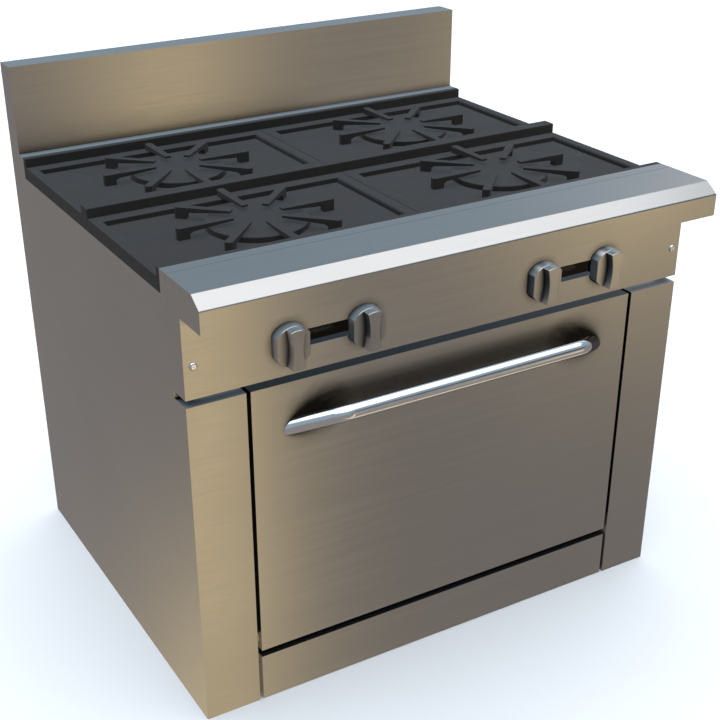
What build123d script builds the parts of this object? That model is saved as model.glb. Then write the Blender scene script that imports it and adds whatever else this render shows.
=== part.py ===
from build123d import *
import os

os.makedirs("parts", exist_ok=True)

# Commercial gas range: four open top burners over one standard oven.
# All sizes are in millimetres. While drawing, Y = 0 is the front plane of the door and
# stiles and +Y runs to the wall; every piece is shifted by ORIGIN_Y when it is saved, so
# that the origin ends up at the bottom centre of the whole range.

HALF_W = 457.2
SHEET = 1.5
THIN = 1.2
BODY_BACK = 738.0
RAIL_FRONT = -69.0
INLET_END = 763.0
ORIGIN_Y = -(RAIL_FRONT + INLET_END) / 2

FRONT_DEPTH = 41.0
HOB_FRONT = 63.0
LEDGE_FRONT = 670.0
GUARD_FRONT = 691.0

KICK_TOP = 86.5
DOOR_BOTTOM = 99.0
DOOR_TOP = 570.0
DOOR_HALF_W = 355.0
DOOR_DEPTH = 36.0
STILE_INNER = 362.0
PANEL_BOTTOM = 582.0
RAIL_BOTTOM = 710.0
SIDE_TOP = 724.0
GRATE_BOTTOM = 731.5
PLATE_TOP = 738.0
RIM_TOP = 746.0
HOB_TOP = 762.0
GUARD_TOP = 914.4

KNOB_Z = 635.0
KNOB_XS = (-292.0, -164.5, 164.5, 292.0)
KNOB_R = 32.0
KNOB_HALF_W = 27.0
KNOB_BACK = -2.0
KNOB_FACE = -19.0
GRIP_FACE = -34.0
STEM_R = 4.0
STEM_BORE_R = 4.05
SCREW_X = 442.0

POCKET_X = 228.0
POCKET_HALF_W = 48.0
POCKET_BOTTOM = 621.0
POCKET_TOP = 648.5
POCKET_DEPTH = 16.5

BURNER_X = 230.5
BURNER_YS = (211.5, 516.5)
CAP_R = 82.0
CAP_BOTTOM = 738.0
CAP_TOP = 746.5
HEAD_R = 66.0
MIXER_Z = 690.0
PLATE_HOLE_R = 83.5
FINGER_TOP = 757.0
FINGER_IN = 42.0
FINGER_OUT = 136.0
FINGER_FOOT = 20.0
FINGER_COUNT = 8

CAVITY_HALF_W = 330.0
CAVITY_BACK = 612.0
CAVITY_TOP = 525.0
LINER_BOTTOM = 140.0
DECK_Z = 158.0
RACK_Z = 339.0

HINGE_Y = 19.0
HINGE_Z = 117.0
HINGE_PIN_R = 5.0
HINGE_BORE_R = 5.05

HANDLE_R = 12.5
HANDLE_END_X = 283.0
HANDLE_END_Z = 495.0
HANDLE_BEND_X = 225.0
HANDLE_BEND_Y = -46.0
HANDLE_BEND_Z = 520.5
HANDLE_BEND_R = 30.0

MANIFOLD_Y = 45.0
MANIFOLD_Z = 600.0
MANIFOLD_R = 16.7
GAS_X = 405.0
INLET_R = 13.335

SIDES = {"left": -1, "right": 1}
inside_w = HALF_W - SHEET


def block(x0, x1, y0, y1, z0, z1):
    """Box between two corners."""
    centre = Pos((x0 + x1) / 2, (y0 + y1) / 2, (z0 + z1) / 2)
    return centre * Box(abs(x1 - x0), abs(y1 - y0), abs(z1 - z0))


def rod_x(x0, x1, y, z, r):
    """Round bar along X."""
    return Pos((x0 + x1) / 2, y, z) * Rot(0, 90, 0) * Cylinder(r, abs(x1 - x0))


def rod_y(x, y0, y1, z, r):
    """Round bar along Y."""
    return Pos(x, (y0 + y1) / 2, z) * Rot(90, 0, 0) * Cylinder(r, abs(y1 - y0))


def rod_z(x, y, z0, z1, r):
    """Round bar along Z."""
    return Pos(x, y, (z0 + z1) / 2) * Cylinder(r, abs(z1 - z0))


def rod_between(start, end, r):
    """Round bar between two points."""
    line = Line(start, end)
    plane = Plane(origin=start, z_dir=(Vector(*end) - Vector(*start)))
    return extrude(plane * Circle(r), line.length)


def profile_x(points, x0, x1):
    """Closed (y, z) outline pushed along X from x0 to x1."""
    face = make_face(Polyline(*[(x0, y, z) for y, z in points], close=True))
    return extrude(face, amount=x1 - x0, dir=(1, 0, 0))


def pan(x0, x1, y0, y1, z0, z1):
    """Folded sheet pan: front skin and four returns, open at the back."""
    inner = block(x0 + SHEET, x1 - SHEET, y0 + SHEET, y1 + 1, z0 + SHEET, z1 - SHEET)
    return block(x0, x1, y0, y1, z0, z1) - inner


def save(name, shape):
    """Write one node, in the range's own frame."""
    export_step(Pos(0, ORIGIN_Y, 0) * shape, f"parts/{name}.step")


# ---------------------------------------------------------------- cabinet sheets

def side_panel(sign):
    """Outer side sheet: cabinet side, stepped round the hob, up to the backguard top."""
    outline = [
        (FRONT_DEPTH, 0),
        (BODY_BACK, 0),
        (BODY_BACK, GUARD_TOP),
        (GUARD_FRONT, GUARD_TOP),
        (GUARD_FRONT, HOB_TOP),
        (LEDGE_FRONT, HOB_TOP),
        (LEDGE_FRONT, SIDE_TOP),
        (HOB_FRONT, SIDE_TOP),
        (HOB_FRONT, HOB_TOP),
        (FRONT_DEPTH, HOB_TOP),
    ]
    inner_x = sign * (HALF_W - SHEET)
    sheet = profile_x(outline, inner_x, sign * HALF_W)
    lip_x = sign * (HALF_W - 25)
    lip = block(lip_x, inner_x, FRONT_DEPTH, FRONT_DEPTH + SHEET, 0, PANEL_BOTTOM)
    hem_x = sign * (HALF_W - 15)
    hem = block(hem_x, inner_x, HOB_FRONT + 2, LEDGE_FRONT, SIDE_TOP - SHEET, SIDE_TOP)
    return sheet + lip + hem


for side, sign in SIDES.items():
    save(f"side_panel_{side}", side_panel(sign))

back = block(-inside_w, inside_w, BODY_BACK - SHEET, BODY_BACK, 4, GUARD_TOP - SHEET)
for row in range(4):
    louvre_z = 846 + row * 14
    back -= block(-105, 105, BODY_BACK - 3, BODY_BACK + 1, louvre_z, louvre_z + 6)
back -= rod_y(GAS_X, BODY_BACK - 5, BODY_BACK + 5, MANIFOLD_Z, INLET_R + 3)
save("back_panel", back)

base = block(-inside_w, inside_w, FRONT_DEPTH + 2 * SHEET, BODY_BACK - SHEET, 0, 3)
for x in (-300, -150, 0, 150, 300):
    base -= block(x - 45, x + 45, 250, 560, -1, 4)
upstand = block(-inside_w, inside_w, BODY_BACK - 2 * SHEET, BODY_BACK - SHEET, 3, 40)
save("base_pan", Compound(children=[base, upstand]))


def stile(sign):
    """Hollow corner post beside the door, closed on top, open at the back."""
    x0 = min(sign * STILE_INNER, sign * HALF_W)
    x1 = max(sign * STILE_INNER, sign * HALF_W)
    post = pan(x0, x1, 0, FRONT_DEPTH, 0, DOOR_TOP)
    pin_x = sign * STILE_INNER
    return post - rod_x(pin_x - 5, pin_x + 5, HINGE_Y, HINGE_Z, HINGE_PIN_R + 0.2)


for side, sign in SIDES.items():
    save(f"stile_{side}", stile(sign))

# ---------------------------------------------------------------- valve panel

panel = block(-HALF_W, HALF_W, 0, FRONT_DEPTH, PANEL_BOTTOM, RAIL_BOTTOM)
panel -= block(-inside_w, inside_w, SHEET, FRONT_DEPTH + 1, PANEL_BOTTOM + SHEET, RAIL_BOTTOM + 1)
panel -= block(-HALF_W + 25, HALF_W - 25, 20, FRONT_DEPTH + 1, PANEL_BOTTOM - 1, PANEL_BOTTOM + 3)
for x in KNOB_XS:
    panel -= rod_y(x, -2, 4, KNOB_Z, STEM_R + 2)
for sign in (-1, 1):
    x0 = sign * POCKET_X - POCKET_HALF_W
    x1 = sign * POCKET_X + POCKET_HALF_W
    panel -= block(x0, x1, -1, 4, POCKET_BOTTOM, POCKET_TOP)
    panel -= rod_y(sign * SCREW_X, -2, 4, KNOB_Z - 1.5, 2.3)
save("valve_panel", panel)


def pocket_liner(x):
    """Shallow folded tray behind the slot in the valve panel, open to the front."""
    half = POCKET_HALF_W
    hollow = block(x - half, x + half, 0, POCKET_DEPTH, POCKET_BOTTOM, POCKET_TOP)
    half += THIN
    outer = block(x - half, x + half, SHEET, POCKET_DEPTH + THIN, POCKET_BOTTOM - THIN, POCKET_TOP + THIN)
    return outer - hollow


save("slot_pockets", Compound(children=[pocket_liner(sign * POCKET_X) for sign in (-1, 1)]))


def truss_screw(x, z):
    """Round-headed cross-recess screw driven into the valve panel from the front."""
    head = rod_y(x, -3, 0, z, 6)
    head = fillet(head.edges().sort_by(Axis.Y)[0], 2.4)
    cross = block(x - 3.6, x + 3.6, -4, -1.2, z - 0.6, z + 0.6)
    cross += block(x - 0.6, x + 0.6, -4, -1.2, z - 3.6, z + 3.6)
    return head - cross + rod_y(x, 0, 12, z, 2.2)


save("panel_screws", Compound(children=[truss_screw(s * SCREW_X, KNOB_Z - 1.5) for s in (-1, 1)]))

# ---------------------------------------------------------------- front rail

RAIL_BACK = FRONT_DEPTH - 0.4
rail_outer = [
    (RAIL_BACK, HOB_TOP),
    (-45, HOB_TOP),
    (RAIL_FRONT, 745.5),
    (RAIL_FRONT, RAIL_BOTTOM),
    (RAIL_BACK, RAIL_BOTTOM),
]
rail_hollow = [
    (RAIL_BACK + 1, HOB_TOP - 2),
    (-44.4, HOB_TOP - 2),
    (RAIL_FRONT + 2, 744.5),
    (RAIL_FRONT + 2, RAIL_BOTTOM + 2),
    (RAIL_BACK + 1, RAIL_BOTTOM + 2),
]
rail = profile_x(rail_outer, -HALF_W, HALF_W)
rail = fillet(rail.edges().filter_by(Axis.X).filter_by_position(Axis.Y, -46, -44), 3)
nose = rail.edges().filter_by(Axis.X).filter_by_position(Axis.Y, RAIL_FRONT - 0.5, RAIL_FRONT + 0.5)
rail = fillet(nose.sort_by(Axis.Z)[-1], 4)
rail -= profile_x(rail_hollow, -HALF_W + 2, HALF_W - 2)
rail -= block(-inside_w, inside_w, 8, FRONT_DEPTH, RAIL_BOTTOM - 1, RAIL_BOTTOM + 3)
save("front_rail", rail)

# Folded channel across the body just behind the rail, level with its top.
channel = block(-inside_w, inside_w, FRONT_DEPTH + 0.4, HOB_FRONT, 700, HOB_TOP)
channel_y = FRONT_DEPTH + 0.4 + SHEET
channel -= block(-inside_w - 1, inside_w + 1, channel_y, HOB_FRONT - SHEET, 699, HOB_TOP - SHEET)
save("hob_front_channel", channel)

# ---------------------------------------------------------------- hob castings

RIB_FRONT = 352.0
RIB_BACK = 378.0
BACK_BAR_FRONT = 659.0
FRONT_BAR_BACK = 75.0

hob = block(-HALF_W, HALF_W, HOB_FRONT, FRONT_BAR_BACK, SIDE_TOP, HOB_TOP)
hob += block(-HALF_W, HALF_W, RIB_FRONT, RIB_BACK, SIDE_TOP, HOB_TOP)
hob += block(-HALF_W, HALF_W, BACK_BAR_FRONT, LEDGE_FRONT, SIDE_TOP, HOB_TOP)
for x0, x1 in ((-HALF_W, -HALF_W + 16), (-20, 20), (HALF_W - 16, HALF_W)):
    hob += block(x0, x1, HOB_FRONT, LEDGE_FRONT, SIDE_TOP, GRATE_BOTTOM - 0.2)
long_top = hob.edges().filter_by(Axis.X).filter_by_position(Axis.Z, HOB_TOP - 1, HOB_TOP + 1)
save("hob_frame", fillet(long_top, 1.5))


def finger():
    """One grate finger along +X: flat top, rising underside, foot at the outer end."""
    foot_in = FINGER_OUT - FINGER_FOOT
    side = [
        (FINGER_IN, FINGER_TOP),
        (FINGER_OUT, FINGER_TOP),
        (FINGER_OUT, PLATE_TOP - 1),
        (foot_in, PLATE_TOP - 1),
        (foot_in, FINGER_TOP - 11),
        (foot_in - 6, FINGER_TOP - 8),
        (FINGER_IN, FINGER_TOP - 3.5),
    ]
    outline = make_face(Polyline(*[(r, -10, z) for r, z in side], close=True))
    web = extrude(outline, amount=20, dir=(0, 1, 0))
    plan = [
        (FINGER_IN, -5.5),
        (FINGER_OUT - 3, -6.5),
        (FINGER_OUT, -3.5),
        (FINGER_OUT, 3.5),
        (FINGER_OUT - 3, 6.5),
        (FINGER_IN, 5.5),
    ]
    plan_face = make_face(Polyline(*[(x, y, PLATE_TOP - 5) for x, y in plan], close=True))
    return web & extrude(plan_face, amount=30, dir=(0, 0, 1))


def on_outside(edge, x_in, x_out, y0, y1):
    """True for an edge that lies in one of the four outer faces of a grate."""
    centre = edge.center()
    return min(abs(centre.X - x_in), abs(centre.X - x_out), abs(centre.Y - y0), abs(centre.Y - y1)) < 0.01


def grate(x_sign, y_burner, y0, y1):
    """Lift-off top grate: rimmed plate with a burner hole and radial fingers."""
    x_in = x_sign * 0.4
    x_out = x_sign * HALF_W
    slab = block(x_in, x_out, y0, y1, GRATE_BOTTOM, RIM_TOP)
    tray = block(x_sign * 22, x_sign * (HALF_W - 18.2), y0 + 25.5, y1 - 25.5, PLATE_TOP, RIM_TOP + 5)
    cast = slab - tray
    rim_edges = cast.edges().filter_by_position(Axis.Z, RIM_TOP - 0.01, RIM_TOP + 0.01)
    inner = [e for e in rim_edges.filter_by(Axis.Y) if not on_outside(e, x_in, x_out, y0, y1)]
    cast = fillet(inner, 4)
    rim_edges = cast.edges().filter_by_position(Axis.Z, RIM_TOP - 0.01, RIM_TOP + 0.01)
    outer = [e for e in rim_edges if on_outside(e, x_in, x_out, y0, y1)]
    cast = fillet(outer, 1)
    cast -= rod_z(x_sign * BURNER_X, y_burner, GRATE_BOTTOM - 1, PLATE_TOP + 1, PLATE_HOLE_R)
    spoke = finger()
    for i in range(FINGER_COUNT):
        turn = Rot(0, 0, i * 360 / FINGER_COUNT)
        cast += Pos(x_sign * BURNER_X, y_burner, 0) * turn * spoke
    return cast


GRATE_ROWS = {
    "front": (BURNER_YS[0], FRONT_BAR_BACK + 0.5, RIB_FRONT - 0.5),
    "rear": (BURNER_YS[1], RIB_BACK + 0.5, BACK_BAR_FRONT - 0.5),
}
for row, (y_burner, y0, y1) in GRATE_ROWS.items():
    for side, sign in SIDES.items():
        save(f"grate_{row}_{side}", grate(sign, y_burner, y0, y1))

# ---------------------------------------------------------------- top burners


def burner(x, y, x_valve):
    """Cast burner: open bowl with ports round its lip, and a mixer tube to its valve."""
    head = rod_z(x, y, 706, CAP_BOTTOM - 0.1, HEAD_R) - rod_z(x, y, 712, CAP_BOTTOM + 1, HEAD_R - 7)
    for i in range(24):
        port = block(HEAD_R - 12, HEAD_R + 2, -1.5, 1.5, CAP_BOTTOM - 4, CAP_BOTTOM + 1)
        head -= Pos(x, y, 0) * Rot(0, 0, i * 15) * port
    neck = rod_z(x, y, 676, 707, 20)
    mouth = (x_valve, 90, MIXER_Z)
    tube = rod_between(mouth, (x, y, MIXER_Z), 13)
    bell = rod_between(mouth, step_towards(mouth, (x, y, MIXER_Z), 14), 19)
    bore = rod_between(mouth, (x, y, MIXER_Z), 9.5)
    return head + neck + tube + bell - bore - rod_z(x, y, MIXER_Z, 714, 12)


def step_towards(start, end, distance):
    """Point at a distance from start, on the way to end."""
    point = Vector(*start) + (Vector(*end) - Vector(*start)).normalized() * distance
    return (point.X, point.Y, point.Z)


def cap(x, y):
    """Loose burner cap: flat disc with a locating ring under it."""
    disc = rod_z(x, y, CAP_BOTTOM, CAP_TOP, CAP_R)
    disc = fillet(disc.edges().filter_by(GeomType.CIRCLE).sort_by(Axis.Z)[-1], 1.5)
    ring = rod_z(x, y, CAP_BOTTOM - 8, CAP_BOTTOM, HEAD_R - 13)
    return disc + (ring - rod_z(x, y, CAP_BOTTOM - 9, CAP_BOTTOM, HEAD_R - 17))


caps = []
for row, y in zip(("front", "rear"), BURNER_YS):
    for side, sign in SIDES.items():
        x_valve = sign * (292.0 if row == "front" else 164.5)
        save(f"burner_{row}_{side}", burner(sign * BURNER_X, y, x_valve))
        caps.append(cap(sign * BURNER_X, y))
save("burner_caps", Compound(children=caps))

# ---------------------------------------------------------------- gas train

pipe = rod_x(-425, GAS_X, MANIFOLD_Y, MANIFOLD_Z, MANIFOLD_R)
pipe += rod_y(GAS_X, MANIFOLD_Y, 560, MANIFOLD_Z, 13.3)
save("gas_manifold", pipe)

drop = rod_z(-418, 58, 57, MANIFOLD_Z, 6.5) - rod_x(-430, -400, MANIFOLD_Y, MANIFOLD_Z, MANIFOLD_R)
drop += rod_x(-418, -330, 58, 57, 6.5) + Pos(-418, 58, 57) * Sphere(6.5)
regulator = rod_y(GAS_X, 560, 640, MANIFOLD_Z, 18)
regulator += rod_z(GAS_X, 600, 590, 624, 26) + rod_z(GAS_X, 600, 624, 632, 10)
save("pressure_regulator", regulator)

inlet = rod_y(GAS_X, 640, BODY_BACK, MANIFOLD_Z, INLET_R - 0.8)
inlet += rod_y(GAS_X, BODY_BACK, INLET_END, MANIFOLD_Z, INLET_R)
save("gas_inlet_pipe", inlet - rod_y(GAS_X, 650, INLET_END + 1, MANIFOLD_Z, 10.4))


def valve(x):
    """Top burner valve on the manifold, with its riser."""
    body = rod_y(x, 18, 58, KNOB_Z, 12) + rod_y(x, 10, 18, KNOB_Z, 8)
    riser = rod_z(x, MANIFOLD_Y, MANIFOLD_Z, KNOB_Z, 8)
    body += riser - rod_x(x - 20, x + 20, MANIFOLD_Y, MANIFOLD_Z, MANIFOLD_R)
    body += rod_z(x, 50, KNOB_Z, MIXER_Z + 6, 6)
    body += rod_y(x, 50, 62, MIXER_Z, 6)
    return body - rod_y(x, 9, 40, KNOB_Z, STEM_BORE_R)


def hood(x):
    """Hexagonal brass orifice hood facing the mixer tube."""
    hexagon = Plane(origin=(x, 62, MIXER_Z), z_dir=(0, 1, 0)) * RegularPolygon(8, 6)
    return extrude(hexagon, 16) + rod_y(x, 78, 84, MIXER_Z, 5) - rod_y(x, 60, 85, MIXER_Z, 1.2)


save("burner_valves", Compound(children=[valve(x) for x in KNOB_XS] + [hood(x) for x in KNOB_XS]))


def knob(x):
    """Burner knob: round body cut flat at both sides, with a waisted bar grip."""
    disc = rod_y(x, KNOB_FACE, KNOB_BACK, KNOB_Z, KNOB_R)
    cut = block(x - KNOB_HALF_W, x + KNOB_HALF_W, GRIP_FACE - 1, 0, KNOB_Z - 40, KNOB_Z + 40)
    body = disc & cut
    body = chamfer(body.faces().sort_by(Axis.Y)[0].edges(), 0.6)
    low = KNOB_Z - 33
    high = KNOB_Z + 33
    left_arc = ThreePointArc((x - 13, GRIP_FACE, low), (x - 8, GRIP_FACE, KNOB_Z), (x - 13, GRIP_FACE, high))
    right_arc = ThreePointArc((x + 13, GRIP_FACE, high), (x + 8, GRIP_FACE, KNOB_Z), (x + 13, GRIP_FACE, low))
    top = Line((x - 13, GRIP_FACE, high), (x + 13, GRIP_FACE, high))
    bottom = Line((x + 13, GRIP_FACE, low), (x - 13, GRIP_FACE, low))
    face = make_face(Curve() + [left_arc, top, right_arc, bottom])
    grip = extrude(face, amount=KNOB_FACE - GRIP_FACE + 1, dir=(0, 1, 0))
    grip = grip & rod_y(x, GRIP_FACE - 1, KNOB_FACE + 2, KNOB_Z, KNOB_R - 0.6)
    grip = chamfer(grip.faces().sort_by(Axis.Y)[0].edges(), 0.6)
    return body + grip - rod_y(x, KNOB_FACE + 3, KNOB_BACK + 1, KNOB_Z, STEM_R)


def stem(x):
    """Valve stem with a shoulder inside the knob bore."""
    return rod_y(x, KNOB_FACE + 3.2, 39, KNOB_Z, STEM_R)


for i, x in enumerate(KNOB_XS):
    save(f"knob_{i + 1}", knob(x))
    save(f"valve_stem_{i + 1}", stem(x))

# ---------------------------------------------------------------- back of the hob

ledge = block(-inside_w, inside_w, LEDGE_FRONT, GUARD_FRONT, HOB_TOP - SHEET, HOB_TOP)
ledge += block(-inside_w, inside_w, LEDGE_FRONT, LEDGE_FRONT + SHEET, SIDE_TOP, HOB_TOP)
save("rear_ledge", ledge)

guard = block(-inside_w, inside_w, GUARD_FRONT, BODY_BACK, HOB_TOP - 20, GUARD_TOP)
guard_hollow_top = GUARD_TOP - SHEET
guard_half = inside_w - THIN
guard -= block(-guard_half, guard_half, GUARD_FRONT + SHEET, BODY_BACK + 1, HOB_TOP - 21, guard_hollow_top)
guard -= block(-HALF_W, HALF_W, BODY_BACK - SHEET, BODY_BACK + 1, HOB_TOP - 21, guard_hollow_top)
save("backguard", guard)

tray = block(-inside_w, inside_w, 70, 655, 640, 655)
tray -= block(-inside_w + SHEET, inside_w - SHEET, 70 + SHEET, 655 - SHEET, 640 + SHEET, 656)
save("crumb_tray", tray)

# ---------------------------------------------------------------- oven

LINER_OUT = CAVITY_HALF_W + SHEET
LINER_BACK = CAVITY_BACK + SHEET
LINER_TOP = CAVITY_TOP + SHEET
LINER_FLOOR = LINER_BOTTOM + SHEET
LINER_FRONT = 48.0
FLOOR_GAP = (-250, 250, 110, 560)
FLUE_GAP = (-100, 100, 474, 506)


def liner_sheets():
    """Welded oven box: sides and roof, and strips round the floor window and the flue hole."""
    half = CAVITY_HALF_W
    sheets = [block(-half, half, LINER_FRONT, LINER_BACK, CAVITY_TOP, LINER_TOP)]
    for sign in (-1, 1):
        wall = block(sign * half, sign * LINER_OUT, LINER_FRONT, LINER_BACK, LINER_BOTTOM, LINER_TOP)
        ledge = block(sign * (half - 10), sign * half, 60, CAVITY_BACK - 10, DECK_Z - 3, DECK_Z)
        sheets += [wall, ledge]
    x0, x1, y0, y1 = FLOOR_GAP
    sheets.append(block(-half, half, LINER_FRONT, y0, LINER_BOTTOM, LINER_FLOOR))
    sheets.append(block(-half, half, y1, LINER_BACK, LINER_BOTTOM, LINER_FLOOR))
    sheets.append(block(-half, x0, y0, y1, LINER_BOTTOM, LINER_FLOOR))
    sheets.append(block(x1, half, y0, y1, LINER_BOTTOM, LINER_FLOOR))
    x0, x1, z0, z1 = FLUE_GAP
    sheets.append(block(-half, half, CAVITY_BACK, LINER_BACK, LINER_FLOOR, z0))
    sheets.append(block(-half, half, CAVITY_BACK, LINER_BACK, z1, CAVITY_TOP))
    sheets.append(block(-half, x0, CAVITY_BACK, LINER_BACK, z0, z1))
    sheets.append(block(x1, half, CAVITY_BACK, LINER_BACK, z0, z1))
    return sheets


save("oven_liner", Compound(children=liner_sheets()))

back_slab = block(-LINER_OUT, LINER_OUT, LINER_BACK, 650, LINER_BOTTOM, LINER_TOP)
slabs = [
    block(-385, 385, 60, 650, LINER_TOP, 580),
    block(-385, -LINER_OUT, 60, 650, LINER_BOTTOM, LINER_TOP),
    block(LINER_OUT, 385, 60, 650, LINER_BOTTOM, LINER_TOP),
    back_slab - block(-112, 112, 600, 660, 464, 516),
]
save("oven_insulation", Compound(children=slabs))

mouth_frame = block(-inside_w, inside_w, 46, LINER_FRONT, DOOR_BOTTOM, 578)
mouth_frame -= block(-CAVITY_HALF_W, CAVITY_HALF_W, 45, 49, LINER_FLOOR, CAVITY_TOP)
mouth_frame -= rod_z(-418, 58, DOOR_BOTTOM - 1, 579, 13)
mouth_frame -= rod_z(-418, 47, DOOR_BOTTOM - 1, 579, 8)
save("oven_front_frame", mouth_frame)

SEAL_OUT = CAVITY_HALF_W + 16
SEAL_IN = CAVITY_HALF_W + 4
seal = block(-SEAL_OUT, SEAL_OUT, 38.3, 46, 139, CAVITY_TOP + 14)
seal -= block(-SEAL_IN, SEAL_IN, 38, 47, 151, CAVITY_TOP + 2)
seal = chamfer(seal.edges().filter_by_position(Axis.Y, 38.2, 38.4), 2)
save("oven_gasket", seal)

deck = block(1 - CAVITY_HALF_W, CAVITY_HALF_W - 1, 52, CAVITY_BACK - 2, DECK_Z, DECK_Z + 3)
for x in range(-270, 271, 90):
    deck -= block(x - 30, x + 30, 90, 98, DECK_Z - 1, DECK_Z + 4)
    deck -= block(x - 30, x + 30, 570, 578, DECK_Z - 1, DECK_Z + 4)
save("oven_deck", deck)


def rack_guide(sign):
    """Side ladder that carries the rack at one of three levels: uprights and flat rungs."""
    wall = sign * CAVITY_HALF_W
    face = sign * (CAVITY_HALF_W - 6)
    edge = sign * (CAVITY_HALF_W - 24)
    uprights = [block(face, wall, y, y + 12, DECK_Z + 6, 500) for y in (90, 320, 570)]
    rungs = [block(edge, face, 80, 594, z - 3, z) for z in (250, RACK_Z - 4, 420)]
    return uprights + rungs


save("rack_guides", Compound(children=rack_guide(-1) + rack_guide(1)))

RACK_HALF_W = CAVITY_HALF_W - 12
rack = rod_x(-RACK_HALF_W, RACK_HALF_W, 80, RACK_Z, 3.5)
rack += rod_x(-RACK_HALF_W, RACK_HALF_W, 580, RACK_Z, 3.5)
for x in (-RACK_HALF_W, RACK_HALF_W):
    rack += rod_y(x, 80, 580, RACK_Z, 3.5)
    for y in (80, 580):
        rack += Pos(x, y, RACK_Z) * Sphere(3.5)
rack += rod_x(-RACK_HALF_W, RACK_HALF_W, 330, RACK_Z - 0.5, 3)
for i in range(1, 20):
    rack += rod_y(-RACK_HALF_W + i * RACK_HALF_W / 10, 80, 580, RACK_Z + 2, 2)
save("oven_rack", rack)

flame_tube = rod_x(-90, 90, 110, 85, 14)
for x in (-90, 90):
    flame_tube += rod_y(x, 110, 540, 85, 14) + Pos(x, 110, 85) * Sphere(14)
flame_tube += rod_y(0, 78, 112, 85, 13) - rod_y(0, 77, 100, 85, 9)
for y in range(150, 531, 20):
    for x in (-90, 90):
        flame_tube -= rod_z(x, y, 90, 101, 1.5)
save("oven_burner", flame_tube)
supports = [block(-inside_w, inside_w, y - 8, y + 8, 670, 676) for y in BURNER_YS]
supports += [block(-140, 140, y, y + 3, 3, 71) for y in (160, 520)]
save("burner_supports", Compound(children=supports))

flue = block(-110, 110, LINER_BACK, 734, 466, 514) + block(-110, 110, 694, 734, 466, 908)
flue -= block(-108.8, 108.8, 600, 732.8, 467.2, 512.8)
flue -= block(-108.8, 108.8, 695.2, 732.8, 467.2, 906.8)
flue -= block(-104, 104, 730, 735, 842, 898)
save("flue_duct", flue)

# ---------------------------------------------------------------- oven controls behind the kick panel

shield = block(-DOOR_HALF_W, DOOR_HALF_W, 42.5, 44, 3, 95)
shield -= rod_y(250, 42, 45, 50, 7)
shield -= rod_y(-290, 42, 45, 57, 9)
save("lower_shield", shield)

thermostat = block(225, 275, 46, 92, 28, 76) - rod_y(250, 45, 80, 50, STEM_BORE_R)
save("oven_thermostat", thermostat)
dial = rod_y(250, 20, 40, 50, 22) - block(240, 260, 19, 25, 20, 80) + block(246, 254, 12, 26, 31, 69)
dial = dial & rod_y(250, 10, 41, 50, 22)
save("thermostat_dial", dial + rod_y(250, 40, 78, 50, STEM_R))

safety = block(-330, -250, 48, 96, 28, 86) - rod_y(-290, 47, 80, 57, HINGE_BORE_R)
save("safety_valve", safety)
button = rod_y(-290, 26, 36, 57, 8) + rod_y(-290, 35, 66, 57, HINGE_PIN_R)
save("reset_button", button)
link = rod_x(-250, 225, 70, 57, 5.5) + rod_z(0, 70, 57, 85, 5.5) + rod_y(0, 70, 90, 85, 5)
save("oven_gas_pipes", Compound(children=[drop, link]))

# ---------------------------------------------------------------- kick panel

save("kick_panel", pan(-DOOR_HALF_W, DOOR_HALF_W, 0, 40, 1, KICK_TOP))

# ---------------------------------------------------------------- oven door

skin = pan(-DOOR_HALF_W, DOOR_HALF_W, 0, DOOR_DEPTH, DOOR_BOTTOM, DOOR_TOP)
for sign in (-1, 1):
    skin -= rod_x(sign * (DOOR_HALF_W - 5), sign * (DOOR_HALF_W + 5), HINGE_Y, HINGE_Z, 9.1)
    skin -= rod_y(sign * HANDLE_END_X, -2, 4, HANDLE_END_Z, 4.1)
save("door_skin", skin)

inner_skin = block(-DOOR_HALF_W, DOOR_HALF_W, DOOR_DEPTH, 38, DOOR_BOTTOM, DOOR_TOP)
PLUG_HALF_W = CAVITY_HALF_W - 8
inner_skin += block(-PLUG_HALF_W, PLUG_HALF_W, 38, 43, 163, CAVITY_TOP - 10)
inner_skin -= block(2 - PLUG_HALF_W, PLUG_HALF_W - 2, DOOR_DEPTH - 1, 41.5, 165, CAVITY_TOP - 12)
save("door_liner", inner_skin)

fill = block(-352, 352, 12, DOOR_DEPTH, 102, 567)
for sign in (-1, 1):
    fill -= rod_x(sign * 330, sign * 353, HINGE_Y, HINGE_Z, 10)
save("door_insulation", fill)

bushes = []
for sign in (-1, 1):
    bush = rod_x(sign * 335, sign * DOOR_HALF_W, HINGE_Y, HINGE_Z, 9)
    bushes.append(bush - rod_x(sign * 334, sign * 356, HINGE_Y, HINGE_Z, HINGE_BORE_R))
save("door_hinge_bushes", Compound(children=bushes))

pins = []
for sign in (-1, 1):
    pin = rod_x(sign * 340, sign * 366.5, HINGE_Y, HINGE_Z, HINGE_PIN_R)
    pins.append(pin + rod_x(sign * 363.5, sign * 366.5, HINGE_Y, HINGE_Z, 9))
save("hinge_pins", Compound(children=pins))

bar_rise = Vector(0, HANDLE_BEND_Y, HANDLE_BEND_Z - HANDLE_END_Z)
bar_normal = Vector(1, 0, 0).cross(bar_rise)
bar_plane = Plane(origin=(0, 0, HANDLE_END_Z), x_dir=(1, 0, 0), z_dir=bar_normal)
leg_lean = (HANDLE_END_X - HANDLE_BEND_X) / bar_rise.length
root = (HANDLE_END_X + leg_lean * 20, -20)
bend = (HANDLE_BEND_X, bar_rise.length)
left_root = (-root[0], root[1])
left_bend = (-bend[0], bend[1])
path = bar_plane * FilletPolyline(left_root, left_bend, bend, root, radius=HANDLE_BEND_R)
section = Plane(origin=path @ 0, z_dir=path % 0)
handle = sweep(section * Circle(HANDLE_R), path=path)
handle -= sweep(section * Circle(HANDLE_R - 2), path=path)
save("door_handle", handle & block(-400, 400, -120, 0, 400, 620))

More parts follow.
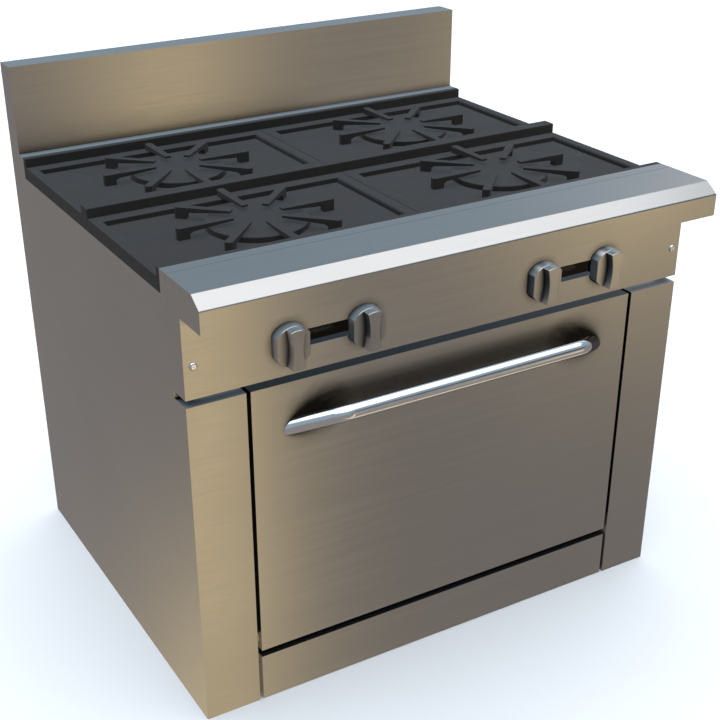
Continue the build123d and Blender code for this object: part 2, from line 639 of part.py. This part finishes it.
bolts = []
for sign in (-1, 1):
    shank = rod_y(sign * HANDLE_END_X, -6, 4, HANDLE_END_Z, 4)
    bolts.append(shank + rod_y(sign * HANDLE_END_X, SHEET, 7, HANDLE_END_Z, 7))
save("handle_bolts", Compound(children=bolts))
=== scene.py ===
"""Looks of a commercial gas range: finishes, small fixings, a pale floor and soft studio light."""

import math

import bmesh
import bpy
from mathutils import Matrix, Vector


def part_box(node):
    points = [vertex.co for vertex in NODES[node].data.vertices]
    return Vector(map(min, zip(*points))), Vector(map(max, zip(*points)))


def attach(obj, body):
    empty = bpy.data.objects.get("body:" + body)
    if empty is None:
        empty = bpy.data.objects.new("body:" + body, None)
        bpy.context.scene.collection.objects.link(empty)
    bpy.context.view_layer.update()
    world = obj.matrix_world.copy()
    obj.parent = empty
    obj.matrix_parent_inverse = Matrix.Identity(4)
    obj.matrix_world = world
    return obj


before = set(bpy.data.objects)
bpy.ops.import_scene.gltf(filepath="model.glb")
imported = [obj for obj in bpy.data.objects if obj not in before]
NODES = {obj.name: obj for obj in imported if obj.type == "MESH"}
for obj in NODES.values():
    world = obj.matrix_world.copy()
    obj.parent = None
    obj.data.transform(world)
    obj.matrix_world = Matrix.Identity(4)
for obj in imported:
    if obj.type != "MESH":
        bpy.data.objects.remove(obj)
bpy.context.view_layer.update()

# Camera: azimuth 0 looks along +Y, and elevation is above the horizon, both in degrees.
CAMERA_AZIMUTH = -28.835
CAMERA_ELEVATION = 27.847
CAMERA_ROLL = -0.900
CAMERA_LENS_MM = 64.24
CAMERA_SHIFT = (0.0541, 0.0636)
CAMERA_SENSOR_MM = 36.0
CAMERA_CLIP = (0.05, 100.0)
# Metres from the middle of the door's front plane, at floor level.
CAMERA_PLACE = (-1.0641, -1.4988, 1.4204)


# ---------------------------------------------------------------- node helpers

EDGE_SAMPLES = 6
CLOSENESS_SAMPLES = 16
# Most of a noise pattern's values lie between these.
NOISE_SPAN = (0.3, 0.7)


class Nodes:
    """Short ways of adding nodes to a node tree."""

    def __init__(self, tree):
        self.tree = tree

    def add(self, kind):
        return self.tree.nodes.new(kind)

    def link(self, source, target):
        self.tree.links.new(source, target)

    def feed(self, value, target):
        """Gives a socket a number, a Vector or a colour tuple, or links another socket to it."""
        if isinstance(value, bpy.types.NodeSocket):
            self.link(value, target)
        elif isinstance(value, tuple):
            target.default_value = (*value, 1.0)
        else:
            target.default_value = value

    def math(self, operation, a, b=None):
        node = self.add("ShaderNodeMath")
        node.operation = operation
        self.feed(a, node.inputs[0])
        if b is not None:
            self.feed(b, node.inputs[1])
        return node.outputs["Value"]

    def dot(self, a, b):
        node = self.add("ShaderNodeVectorMath")
        node.operation = "DOT_PRODUCT"
        self.feed(a, node.inputs[0])
        self.feed(b, node.inputs[1])
        return node.outputs["Value"]

    def ramp(self, value, low, high, out_low=0.0, out_high=1.0):
        """Maps low..high to out_low..out_high, smoothly and clamped."""
        node = self.add("ShaderNodeMapRange")
        node.interpolation_type = "SMOOTHSTEP"
        limits = {"From Min": low, "From Max": high, "To Min": out_low, "To Max": out_high}
        for name, number in limits.items():
            node.inputs[name].default_value = number
        self.link(value, node.inputs["Value"])
        return node.outputs["Result"]

    def mix(self, factor, first, second):
        """A colour that goes from first to second as factor goes from 0 to 1."""
        node = self.add("ShaderNodeMix")
        node.data_type = "RGBA"
        self.link(factor, node.inputs["Factor"])
        colours = [socket for socket in node.inputs if socket.type == "RGBA"]
        for value, socket in zip((first, second), colours):
            self.feed(value, socket)
        return next(socket for socket in node.outputs if socket.type == "RGBA")


class Material(Nodes):
    """A Principled material. Its patterns use object coordinates, in metres."""

    def __init__(self, name, metallic, roughness, colour):
        self.data = bpy.data.materials.new(name)
        self.data.use_nodes = True
        super().__init__(self.data.node_tree)
        self.shader = self.tree.nodes["Principled BSDF"]
        self.shader.inputs["Metallic"].default_value = metallic
        self.shader.inputs["Roughness"].default_value = roughness
        self.shader.inputs["Base Color"].default_value = (*colour, 1.0)
        self.coords = self.add("ShaderNodeTexCoord").outputs["Object"]

    def stretched(self, scale):
        """Object coordinates scaled unevenly, which draws a pattern out along an axis."""
        node = self.add("ShaderNodeMapping")
        node.inputs["Scale"].default_value = scale
        self.link(self.coords, node.inputs["Vector"])
        return node.outputs["Vector"]

    def noise(self, vector, scale, detail=3.0, rough=0.55, distortion=0.0):
        """Smooth noise from 0 to 1. scale is about how many blobs there are in a metre."""
        node = self.add("ShaderNodeTexNoise")
        node.inputs["Scale"].default_value = scale
        node.inputs["Detail"].default_value = detail
        node.inputs["Roughness"].default_value = rough
        node.inputs["Distortion"].default_value = distortion
        self.link(vector, node.inputs["Vector"])
        return node.outputs["Fac"]

    def bump(self, height, strength, distance, normal=None):
        node = self.add("ShaderNodeBump")
        node.inputs["Strength"].default_value = strength
        node.inputs["Distance"].default_value = distance
        self.link(height, node.inputs["Height"])
        if normal is not None:
            self.link(normal, node.inputs["Normal"])
        return node.outputs["Normal"]

    def soft_edge(self, radius):
        """The normal that the surface would have if its edges were rounded to this radius."""
        node = self.add("ShaderNodeBevel")
        node.samples = EDGE_SAMPLES
        node.inputs["Radius"].default_value = radius
        return node.outputs["Normal"]

    def closeness(self, reach, low, high):
        """1 in the open, falling to 0 where something stands within reach in front of the surface. It
        masks painted shade.

        low and high are the open share of the surface's view at which it gets to 0 and 1.
        """
        node = self.add("ShaderNodeAmbientOcclusion")
        node.samples = CLOSENESS_SAMPLES
        node.inputs["Distance"].default_value = reach
        return self.ramp(node.outputs["AO"], low, high)

    def edge_mask(self, rounded, low, high):
        """1 along edges and 0 on flats, from how far the rounded normal leaves the true one."""
        flat = self.add("ShaderNodeNewGeometry").outputs["Normal"]
        return self.ramp(self.math("SUBTRACT", 1.0, self.dot(rounded, flat)), low, high)

    def finish(self, colour, roughness, normal=None):
        self.link(colour, self.shader.inputs["Base Color"])
        self.link(roughness, self.shader.inputs["Roughness"])
        if normal is not None:
            self.link(normal, self.shader.inputs["Normal"])
        return self.data


# Lines in a metre across the grain, and how many times longer than wide they are.
FINE_LINES = 900.0
BROAD_LINES = 110.0
LINE_STRETCH = 50.0
STEEL = (0.46, 0.435, 0.40)
STEEL_DARK = (0.435, 0.41, 0.375)
# How far the roughness goes up and down from line to line.
SHEET_SPREAD = 0.02
# Colour of painted shade, and the closeness (reach, low, high) at which every sheet gets painted shade
# in narrow gaps.
PAINTED_SHADE = (0.012, 0.011, 0.010)
GAP_PAINTED_SHADE = (0.025, 0.25, 0.92)
# The closeness at which galvanised sheet gets painted shade under the grates and inside the body.
UNDER_HOB_PAINTED_SHADE = (0.25, 0.1, 0.9)


def brushed_steel(name, grain, roughness, painted_contact_shade=None):
    """Stainless sheet with fine drawn lines and painted shade in narrow gaps. grain gives the axis that
    the lines follow, 0 to 2.

    The last argument is the closeness (reach, low, high) at which painted shade darkens the sheet
    behind whatever stands in front of it.
    """
    m = Material(name, metallic=1.0, roughness=roughness, colour=STEEL)
    along = [1.0, 1.0, 1.0]
    along[grain] = 1.0 / LINE_STRETCH
    fine = m.noise(m.stretched([a * FINE_LINES for a in along]), 1.0, detail=2.0, rough=0.6)
    broad = m.noise(m.stretched([a * BROAD_LINES for a in along]), 1.0, detail=3.0, rough=0.6)
    cloud = m.noise(m.coords, 3.2, detail=3.0, rough=0.5)
    tone = m.math("ADD", m.math("MULTIPLY", cloud, 0.65), m.math("MULTIPLY", broad, 0.35))
    colour = m.mix(m.ramp(tone, 0.35, 0.65), STEEL_DARK, STEEL)
    streak = m.math("ADD", m.math("MULTIPLY", fine, 0.6), m.math("MULTIPLY", broad, 0.4))
    rough = m.ramp(streak, *NOISE_SPAN, roughness - SHEET_SPREAD, roughness + SHEET_SPREAD)
    # Painted shade in narrow gaps between sheets.
    colour = m.mix(m.closeness(*GAP_PAINTED_SHADE), PAINTED_SHADE, colour)
    # Painted shade behind whatever stands close in front of the sheet.
    if painted_contact_shade is not None:
        colour = m.mix(m.closeness(*painted_contact_shade), PAINTED_SHADE, colour)
    return m.finish(colour, rough, m.bump(streak, strength=0.10, distance=0.0002))


def bright_steel(name, light, roughness, spread, edge, painted_contact_shade=None):
    """Polished or satin steel with faint handling marks. edge is the radius of its soft edges.

    spread is the extra roughness of the marks, and the last argument gives painted shade as in
    brushed_steel.
    """
    m = Material(name, metallic=1.0, roughness=roughness, colour=light)
    smudge = m.noise(m.coords, 28.0, detail=4.0, rough=0.6)
    scratch = m.noise(m.stretched((60.0, 900.0, 900.0)), 1.0, detail=2.0, rough=0.5)
    smudged = m.ramp(smudge, 0.35, 0.7, roughness, roughness + spread)
    rough = m.math("ADD", smudged, m.ramp(scratch, 0.62, 0.75, 0.0, 0.03))
    shade = m.mix(m.ramp(smudge, *NOISE_SPAN), tuple(c * 0.93 for c in light), light)
    # Painted shade where something stands close in front of the steel.
    if painted_contact_shade is not None:
        shade = m.mix(m.closeness(*painted_contact_shade), PAINTED_SHADE, shade)
    rounded = m.soft_edge(edge)
    return m.finish(shade, rough, m.bump(scratch, strength=0.04, distance=0.0001, normal=rounded))


# Radii of softened edges, in metres.
IRON_EDGE = 0.0006
PIPE_EDGE = 0.0008
PLASTIC_EDGE = 0.0006


def cast_iron(name, base, worn, roughness):
    """Sand-cast iron, seasoned black: a fine pebbled skin, cloudy sheen and paler rubbed edges."""
    m = Material(name, metallic=0.0, roughness=roughness, colour=base)
    m.shader.inputs["Specular IOR Level"].default_value = 0.3
    rounded = m.soft_edge(IRON_EDGE)
    pebble = m.noise(m.coords, 620.0, detail=3.0, rough=0.6)
    swell = m.noise(m.coords, 90.0, detail=3.0, rough=0.5)
    cloud = m.noise(m.coords, 14.0, detail=4.0, rough=0.6)
    rubbed = m.math("MULTIPLY", m.edge_mask(rounded, 0.01, 0.14), m.ramp(swell, 0.35, 0.6))
    shade = m.mix(m.ramp(cloud, *NOISE_SPAN), tuple(c * 0.72 for c in base), base)
    colour = m.mix(rubbed, shade, worn)
    sheen = m.ramp(cloud, *NOISE_SPAN, roughness - 0.08, roughness + 0.08)
    rough = m.math("SUBTRACT", sheen, m.math("MULTIPLY", rubbed, 0.12))
    relief = m.math("ADD", m.math("MULTIPLY", pebble, 0.35), swell)
    return m.finish(colour, rough, m.bump(relief, strength=0.35, distance=0.0006, normal=rounded))


def galvanised(name):
    """Zinc-coated sheet with its crystal spangle, and painted shade under the grates and inside the
    body.
    """
    m = Material(name, metallic=0.9, roughness=0.45, colour=(0.42, 0.43, 0.43))
    cells = m.add("ShaderNodeTexVoronoi")
    cells.inputs["Scale"].default_value = 70.0
    warp = m.noise(m.coords, 40.0, detail=2.0)
    m.link(m.coords, cells.inputs["Vector"])
    tone = m.add("ShaderNodeSeparateColor")
    m.link(cells.outputs["Color"], tone.inputs["Color"])
    value = m.math("ADD", m.math("MULTIPLY", tone.outputs["Red"], 0.7), m.math("MULTIPLY", warp, 0.3))
    colour = m.mix(value, (0.30, 0.31, 0.32), (0.50, 0.51, 0.51))
    # Painted shade under the grates and inside the body.
    colour = m.mix(m.closeness(*UNDER_HOB_PAINTED_SHADE), PAINTED_SHADE, colour)
    rough = m.ramp(value, 0.0, 1.0, 0.34, 0.55)
    return m.finish(colour, rough, m.bump(value, strength=0.06, distance=0.0003))


def speckled_enamel(name):
    """Vitreous enamel: glossy blue-black glass with pale specks."""
    m = Material(name, metallic=0.0, roughness=0.2, colour=(0.020, 0.024, 0.034))
    m.shader.inputs["Coat Weight"].default_value = 0.4
    m.shader.inputs["Coat Roughness"].default_value = 0.1
    speck = m.noise(m.coords, 900.0, detail=1.0, rough=0.4)
    orange_peel = m.noise(m.coords, 130.0, detail=2.0, rough=0.5)
    colour = m.mix(m.ramp(speck, 0.68, 0.74), (0.018, 0.022, 0.032), (0.26, 0.27, 0.29))
    rough = m.ramp(orange_peel, *NOISE_SPAN, 0.16, 0.28)
    return m.finish(colour, rough, m.bump(orange_peel, strength=0.08, distance=0.0005))


def plain_metal(name, base, worn, roughness, metallic=1.0):
    """Pipe, brass and plated parts: blotched tone and paler edges."""
    m = Material(name, metallic=metallic, roughness=roughness, colour=base)
    rounded = m.soft_edge(PIPE_EDGE)
    blotch = m.noise(m.coords, 45.0, detail=4.0, rough=0.6)
    grit = m.noise(m.coords, 420.0, detail=2.0, rough=0.5)
    colour = m.mix(m.ramp(blotch, *NOISE_SPAN), tuple(c * 0.8 for c in base), base)
    colour = m.mix(m.edge_mask(rounded, 0.02, 0.2), colour, worn)
    rough = m.ramp(blotch, *NOISE_SPAN, roughness - 0.06, roughness + 0.06)
    return m.finish(colour, rough, m.bump(grit, strength=0.08, distance=0.0003, normal=rounded))


def fibre(name, pale, dark, scale):
    """Mineral wool or woven glass rope: matt, with tangled strands."""
    m = Material(name, metallic=0.0, roughness=0.95, colour=pale)
    strands = m.noise(m.stretched((scale, scale, scale * 4)), 1.0, detail=5.0, rough=0.7, distortion=2.0)
    tuft = m.noise(m.coords, scale * 0.4, detail=3.0, rough=0.6)
    colour = m.mix(m.ramp(strands, 0.35, 0.65), dark, pale)
    rough = m.ramp(tuft, *NOISE_SPAN, 0.88, 0.98)
    return m.finish(colour, rough, m.bump(strands, strength=0.6, distance=0.002))


def moulded(name, base, roughness):
    """Moulded plastic with a fine matt grain."""
    m = Material(name, metallic=0.0, roughness=roughness, colour=base)
    grain = m.noise(m.coords, 1400.0, detail=2.0, rough=0.5)
    wear = m.noise(m.coords, 60.0, detail=3.0, rough=0.6)
    colour = m.mix(m.ramp(wear, *NOISE_SPAN), tuple(c * 0.8 for c in base), base)
    rough = m.ramp(wear, *NOISE_SPAN, roughness - 0.05, roughness + 0.08)
    rounded = m.soft_edge(PLASTIC_EDGE)
    return m.finish(colour, rough, m.bump(grain, strength=0.15, distance=0.0002, normal=rounded))


# ------------------------------------------------------------------ materials

# The front sheets are drawn along X and the side panels along Y. The door gets painted shade
# behind its handle, the slot pockets get painted shade inside, and the knobs get painted shade where
# other surfaces stand close.
sheet_x = brushed_steel("sheet_steel_front", 0, 0.19)
sheet_y = brushed_steel("sheet_steel_side", 1, 0.19)
sheet_door = brushed_steel("sheet_steel_door", 0, 0.17, painted_contact_shade=(0.050, 0.76, 0.97))
sheet_recess = brushed_steel("sheet_steel_recess", 0, 0.19, painted_contact_shade=(0.03, 0.70, 1.0))
tube_polish = bright_steel("polished_tube", (0.78, 0.77, 0.75), 0.10, 0.05, 0.0004)
knob_metal = bright_steel("satin_knob", STEEL, 0.09, 0.04, 0.0001, painted_contact_shade=(0.022, 0.45, 0.98))
iron = cast_iron("seasoned_cast_iron", (0.023, 0.0205, 0.018), (0.055, 0.053, 0.050), 0.62)
zinc = galvanised("galvanised_sheet")
enamel = speckled_enamel("oven_enamel_speckled")
screw_zinc = bright_steel("plated_screw", (0.60, 0.60, 0.58), 0.22, 0.08, 0.0003)
chrome = bright_steel("chromed_wire", (0.62, 0.63, 0.64), 0.09, 0.05, 0.0004)
black_pipe = plain_metal("black_pipe", (0.055, 0.052, 0.050), (0.22, 0.21, 0.20), 0.5)
grey_paint = plain_metal("grey_hammer_paint", (0.20, 0.22, 0.24), (0.34, 0.35, 0.36), 0.42, metallic=0.0)
brass = plain_metal("valve_brass", (0.62, 0.44, 0.20), (0.80, 0.62, 0.32), 0.3)
wool = fibre("mineral_wool", (0.62, 0.55, 0.40), (0.40, 0.34, 0.23), 220.0)
braid = fibre("glass_braid", (0.42, 0.41, 0.39), (0.22, 0.21, 0.20), 900.0)
black_plastic = moulded("black_bakelite", (0.018, 0.018, 0.019), 0.38)
red_plastic = moulded("red_button", (0.50, 0.025, 0.02), 0.35)

FINISHES = {
    "stainless": sheet_x,
    "polished_steel": tube_polish,
    "knob_steel": knob_metal,
    "cast_iron": iron,
    "galvanised_steel": zinc,
    "oven_enamel": enamel,
    "rack_chrome": chrome,
    "pipe_steel": black_pipe,
    "regulator_paint": grey_paint,
    "brass": brass,
    "insulation": wool,
    "gasket_braid": braid,
    "dial_black": black_plastic,
    "button_red": red_plastic,
}

# Nodes with a finish other than their slot's.
OTHER_FINISHES = {
    "side_panel_left": sheet_y,
    "side_panel_right": sheet_y,
    "door_skin": sheet_door,
    "slot_pockets": sheet_recess,
}
# The outside mirrors only the room, as under a soft tent light. The oven mirrors its own walls.
IN_MIRRORS = ("oven_liner", "oven_deck", "oven_rack", "rack_guides", "oven_front_frame", "door_liner")

for name, node in NODES.items():
    for slot in node.material_slots:
        finish = FINISHES[slot.material.name.split(".")[0]]
        slot.material = OTHER_FINISHES.get(name, finish)
    if name not in IN_MIRRORS:
        node.visible_glossy = False

# --------------------------------------------------------------- small fixings

# Outline of a washer-head screw: radius and height above the sheet, in metres.
SCREW_OUTLINE = (
    (0.0058, 0.0),
    (0.0058, 0.0006),
    (0.0044, 0.0008),
    (0.0040, 0.0020),
    (0.0026, 0.0028),
    (0.0011, 0.0030),
    (0.0010, 0.0018),
)
SCREW_SIDES = 24
# Distance of the back screws from the panel's edges, and how many stand along each edge.
SCREW_INSET = 0.012
SCREWS_PER_EDGE = 6


def add_screw(bm, place, outward):
    """Turns the screw outline round its axis and joins the rings into one head with a recess."""
    across = outward.orthogonal().normalized()
    up = outward.cross(across)
    rings = []
    for radius, height in SCREW_OUTLINE:
        ring = []
        for i in range(SCREW_SIDES):
            angle = 2 * math.pi * i / SCREW_SIDES
            rim = across * math.cos(angle) + up * math.sin(angle)
            ring.append(bm.verts.new(place + outward * height + rim * radius))
        rings.append(ring)
    for low, high in zip(rings, rings[1:]):
        for i in range(SCREW_SIDES):
            j = (i + 1) % SCREW_SIDES
            bm.faces.new((low[i], low[j], high[j], high[i]))
    bm.faces.new(rings[-1])
    bm.faces.new(list(reversed(rings[0])))


def back_screw_places():
    """A row of screws down each side of the back panel and across its top and bottom."""
    low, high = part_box("back_panel")
    left, right = low[0] + SCREW_INSET, high[0] - SCREW_INSET
    bottom, top = low[2] + SCREW_INSET, high[2] - SCREW_INSET
    steps = SCREWS_PER_EDGE - 1
    places = []
    for i in range(steps + 1):
        z = bottom + (top - bottom) * i / steps
        places += [(left, high[1], z), (right, high[1], z)]
    for i in range(1, steps):
        x = left + (right - left) * i / steps
        places += [(x, high[1], bottom), (x, high[1], top)]
    return places


def back_screws():
    """One piece that holds all the screws of the back panel."""
    mesh = bpy.data.meshes.new("back_panel_screws")
    bm = bmesh.new()
    for place in back_screw_places():
        add_screw(bm, Vector(place), Vector((0, 1, 0)))
    bmesh.ops.recalc_face_normals(bm, faces=bm.faces)
    bm.to_mesh(mesh)
    bm.free()
    for face in mesh.polygons:
        face.use_smooth = len(face.vertices) == 4
    mesh.materials.append(screw_zinc)
    piece = bpy.data.objects.new("back_panel_screws", mesh)
    bpy.context.scene.collection.objects.link(piece)
    piece.visible_glossy = False
    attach(piece, "range_body")


back_screws()

# --------------------------------------------------------------------- studio

# Half the width of the floor, and the overhead light's side and height, in metres, and watts.
FLOOR_REACH = 20.0
TENT_SIZE = 14.0
TENT_HEIGHT = 9.0
TENT_POWER = 300.0

# Colours of the room that the steel mirrors.
ROOM_LOW = (0.30, 0.288, 0.292)
ROOM_HIGH = (0.34, 0.45, 0.56)
CEILING = (1.87, 2.00, 2.22)
WARM = (1.60, 1.32, 0.80)
DARK = (0.06, 0.05, 0.045)
PALE = (1.0, 1.05, 1.15)
# Sines of the elevations between which the walls go from low to high, and turn into the ceiling.
WALL_RISE = (-0.10, 0.22)
CEILING_EDGE = (0.64, 0.78)
# Azimuth and elevation of the middle, half width and half height, in degrees, and colour.
PATCHES = (
    (22.3, -26.0, 2.8, 33.0, WARM),
    (42.5, -13.0, 5.0, 8.5, WARM),
    (49.0, -56.5, 32.0, 3.2, WARM),
    (203.0, -43.0, 2.2, 9.0, WARM),
    (40.0, 13.0, 30.0, 9.0, DARK),
    (125.0, 20.0, 10.0, 20.0, PALE),
)


def build_floor():
    """A pale matt floor, out of the steel's mirror."""
    mesh = bpy.data.meshes.new("floor")
    bm = bmesh.new()
    bmesh.ops.create_grid(bm, x_segments=8, y_segments=8, size=FLOOR_REACH)
    bm.to_mesh(mesh)
    bm.free()
    floor = bpy.data.objects.new("floor", mesh)
    bpy.context.scene.collection.objects.link(floor)
    m = Material("pale_floor", metallic=0.0, roughness=0.85, colour=(0.88, 0.875, 0.86))
    m.shader.inputs["Specular IOR Level"].default_value = 0.1
    mottle = m.noise(m.coords, 1.5, detail=3.0)
    tone = m.mix(mottle, (0.87, 0.865, 0.85), (0.89, 0.885, 0.87))
    mesh.materials.append(m.finish(tone, m.ramp(mottle, 0.0, 1.0, 0.8, 0.9)))
    floor.visible_glossy = False
    floor.visible_shadow = False


def direction(azimuth, elevation):
    """Unit vector towards an azimuth, 0 in front of the range and 90 on its right, and an elevation."""
    a, e = math.radians(azimuth), math.radians(elevation)
    return Vector((math.sin(a) * math.cos(e), -math.cos(a) * math.cos(e), math.sin(e)))


def build_world():
    """A quiet room round the studio: cool above, warm grey below, with a few soft patches."""
    world = bpy.data.worlds.new("studio")
    bpy.context.scene.world = world
    world.use_nodes = True
    world.node_tree.nodes.clear()
    n = Nodes(world.node_tree)
    view = n.add("ShaderNodeTexCoord").outputs["Generated"]

    def patch(azimuth, elevation, width, height):
        """1 at the middle of a soft patch of the room, falling to 0 over its half sizes in degrees."""
        middle = direction(azimuth, elevation)
        across = direction(azimuth + 90, 0)
        up = middle.cross(across).normalized()
        x = n.math("DIVIDE", n.dot(view, across), math.sin(math.radians(width)))
        y = n.math("DIVIDE", n.dot(view, up), math.sin(math.radians(height)))
        squares = n.math("ADD", n.math("MULTIPLY", x, x), n.math("MULTIPLY", y, y))
        fall = n.math("EXPONENT", n.math("MULTIPLY", squares, -1.0))
        return n.math("MULTIPLY", fall, n.math("MAXIMUM", n.dot(view, middle), 0.0))

    rise = n.dot(view, Vector((0, 0, 1)))
    colour = n.mix(n.ramp(rise, *WALL_RISE), ROOM_LOW, ROOM_HIGH)
    colour = n.mix(n.ramp(rise, *CEILING_EDGE), colour, CEILING)
    for azimuth, elevation, width, height, shade in PATCHES:
        colour = n.mix(patch(azimuth, elevation, width, height), colour, shade)
    background = n.add("ShaderNodeBackground")
    background.inputs["Strength"].default_value = 1.0
    n.link(colour, background.inputs["Color"])
    output = n.add("ShaderNodeOutputWorld")
    n.link(background.outputs["Background"], output.inputs["Surface"])


def build_light():
    """A wide soft light over the range. It lights matt surfaces only, and isn't seen in mirrors."""
    light = bpy.data.lights.new("overhead_tent", "AREA")
    light.shape = "SQUARE"
    light.size = TENT_SIZE
    light.energy = TENT_POWER
    lamp = bpy.data.objects.new("overhead_tent", light)
    lamp.location = (0.0, 0.0, TENT_HEIGHT)
    lamp.visible_glossy = False
    bpy.context.scene.collection.objects.link(lamp)


def build_camera():
    """The camera of the main view, placed from the door's front plane."""
    camera = bpy.data.cameras.new("camera")
    camera.lens = CAMERA_LENS_MM
    camera.sensor_width = CAMERA_SENSOR_MM
    camera.shift_x, camera.shift_y = CAMERA_SHIFT
    camera.clip_start, camera.clip_end = CAMERA_CLIP
    stand = bpy.data.objects.new("camera", camera)
    back = direction(CAMERA_AZIMUTH, CAMERA_ELEVATION)
    roll = Matrix.Rotation(math.radians(CAMERA_ROLL), 3, "Z").to_quaternion()
    stand.rotation_mode = "QUATERNION"
    stand.rotation_quaternion = (-back).to_track_quat("-Z", "Y") @ roll
    stand.location = Vector(CAMERA_PLACE) + Vector((0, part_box("door_skin")[0][1], 0))
    bpy.context.scene.collection.objects.link(stand)
    bpy.context.scene.camera = stand


build_floor()
build_world()
build_light()
build_camera()
bpy.context.scene.view_settings.view_transform = "Standard"
